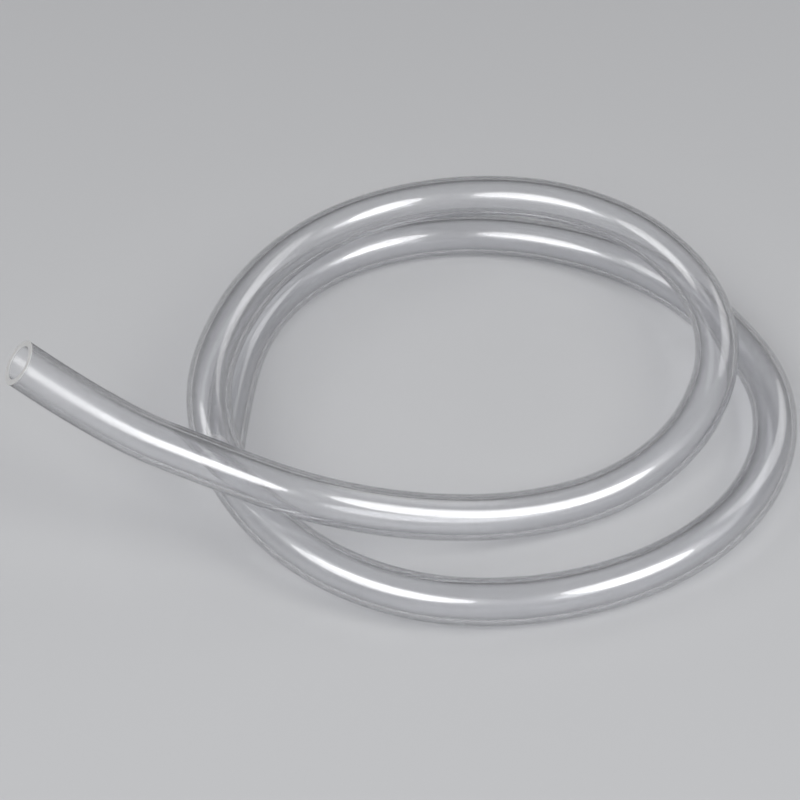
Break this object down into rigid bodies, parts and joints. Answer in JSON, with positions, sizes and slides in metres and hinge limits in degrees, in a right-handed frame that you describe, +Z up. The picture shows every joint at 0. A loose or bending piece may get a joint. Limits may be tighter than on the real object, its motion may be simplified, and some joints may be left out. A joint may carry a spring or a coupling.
{
  "type": "siphon hose",
  "caption": "Clear flexible siphon hose lying in loose turns on a surface, with one cut end standing out over them, ready to push onto a barb or a racking cane.",
  "frame": {"origin": "on the surface that the hose lies on, under the middle of the whole lay", "axes": "+Z up from the surface, +X away from the open end along the longest side, +Y towards the back of the turns"},
  "size_m": [0.2205, 0.1817, 0.0539],
  "materials": {
    "clear_pvc": "clear, glossy, soft flexible PVC"
  },
  "bodies": {
    "root": {"open_end": "clear_pvc", "tail": "clear_pvc", "upper_turn": "clear_pvc", "lower_turn": "clear_pvc", "tucked_end": "clear_pvc"}
  },
  "joints": []
}
